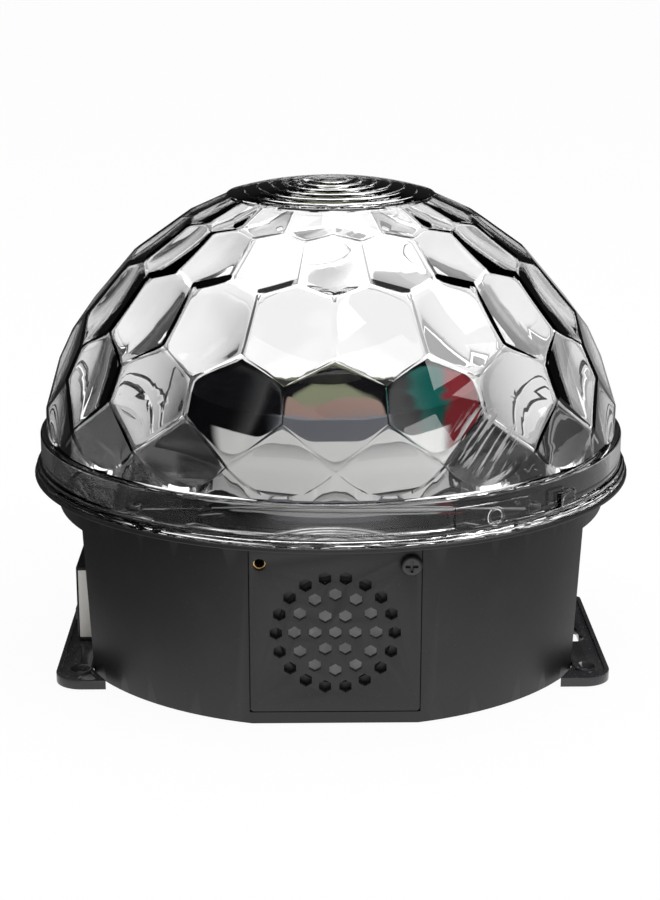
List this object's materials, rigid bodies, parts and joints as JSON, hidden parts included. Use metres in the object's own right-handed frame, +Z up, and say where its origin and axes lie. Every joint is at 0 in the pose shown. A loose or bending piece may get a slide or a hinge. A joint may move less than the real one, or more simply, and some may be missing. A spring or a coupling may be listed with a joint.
{
  "type": "party light",
  "caption": "Half-ball party light with a clear lens dome on a black drum with a speaker grille, a turning lens wheel and side mounting feet.",
  "frame": {"origin": "middle of the underside, on the four pads' plane", "axes": "+Z up; the speaker grille faces -Y; +X to the right seen from the front, with the control pod at -X"},
  "size_m": [0.2, 0.2, 0.1572],
  "materials": {
    "black_housing": "satin black moulding",
    "black_panel": "fine grained black moulding",
    "gloss_deck": "gloss black",
    "mount_black": "gloss black with light edges",
    "crystal": "clear gloss acrylic",
    "clear_lens": "clear gloss lens",
    "wheel_tint": "smoke-tinted gloss moulding",
    "pale_plastic": "off-white moulding",
    "grey_plastic": "light grey moulding",
    "black_part": "black engineering plastic",
    "black_screw": "black oxide",
    "steel": "zinc plated",
    "socket_metal": "bright plated",
    "brass_metal": "turned brass",
    "alu": "plain",
    "rubber_black": "matt",
    "cone_paper": "pressed white paper",
    "ferrite": "ground ferrite",
    "board_green": "solder mask",
    "board_white": "white solder mask",
    "tape_yellow": "winding tape",
    "cap_sleeve": "shrunk sleeve",
    "connector_white": "nylon",
    "lamp_red": "tinted emitter",
    "lamp_green": "tinted emitter",
    "lamp_blue": "tinted emitter",
    "lamp_white": "tinted emitter",
    "lamp_amber": "tinted emitter",
    "lamp_violet": "tinted emitter"
  },
  "bodies": {
    "housing": {"body_shell": "black_housing", "front_panel": "black_panel", "panel_inserts": "brass_metal", "panel_screw": "black_screw", "speaker_basket": "black_part", "speaker_surround": "rubber_black", "speaker_cone": "cone_paper", "speaker_dust_cap": "cone_paper", "speaker_magnet": "ferrite", "speaker_screws": "steel", "base_plate": "black_housing", "base_screws": "black_screw", "foot_pads": "rubber_black", "foot_screws": "black_screw", "left_mounting_foot": "mount_black", "right_mounting_foot": "mount_black", "crystal_dome": "crystal", "deck_plate": "gloss_deck", "deck_screws": "black_screw", "lamp_drum": "grey_plastic", "turret_screws": "steel", "led_board": "board_white", "lamp_lenses": "clear_lens", "lens_retainer": "black_part", "short_screws": "steel", "long_screws": "steel", "motor_bracket": "steel", "motor_can": "steel", "shaft_tube": "alu", "shaft_bush": "brass_metal", "main_board": "board_green", "transformer_core": "ferrite", "transformer_winding": "tape_yellow", "capacitors": "cap_sleeve", "heat_sink": "alu", "board_connectors": "connector_white", "control_pod": "black_housing", "pod_end_cover": "pale_plastic", "media_board": "board_green", "usb_socket": "socket_metal", "card_socket": "socket_metal", "touch_switches": "black_part", "inlet_body": "black_part", "inlet_pins": "brass_metal", "rocker_frame": "black_part", "lamp_red": "lamp_red", "lamp_green": "lamp_green", "lamp_blue": "lamp_blue", "lamp_white": "lamp_white", "lamp_amber": "lamp_amber", "lamp_violet": "lamp_violet"},
    "rotor": {"drive_shaft": "steel", "wheel_hub": "black_part", "lens_wheel": "wheel_tint", "wheel_screw": "black_screw"},
    "power_switch": {"power_rocker": "black_part"},
    "back_key": {"back_button": "black_part"},
    "mode_key": {"mode_button": "black_part"},
    "forward_key": {"forward_button": "black_part"}
  },
  "joints": [
    {"name": "lens_wheel_spin", "type": "hinge", "parent": "housing", "child": "rotor", "pos_m": [0, 0, 0.08], "axis": [0, 0, 1], "continuous": true},
    {"name": "power_rocker_tilt", "type": "hinge", "parent": "housing", "child": "power_switch", "pos_m": [0.0125, 0.08358, 0.02074], "axis": [1, 0, 0], "range_deg": [0, 18]},
    {"name": "back_button_press", "type": "slide", "parent": "housing", "child": "back_key", "axis": [1, 0, 0], "range_m": [0, 0.0007], "stiffness_N_per_m": 400},
    {"name": "mode_button_press", "type": "slide", "parent": "housing", "child": "mode_key", "axis": [1, 0, 0], "range_m": [0, 0.0007], "stiffness_N_per_m": 400},
    {"name": "forward_button_press", "type": "slide", "parent": "housing", "child": "forward_key", "axis": [1, 0, 0], "range_m": [0, 0.0007], "stiffness_N_per_m": 400}
  ]
}
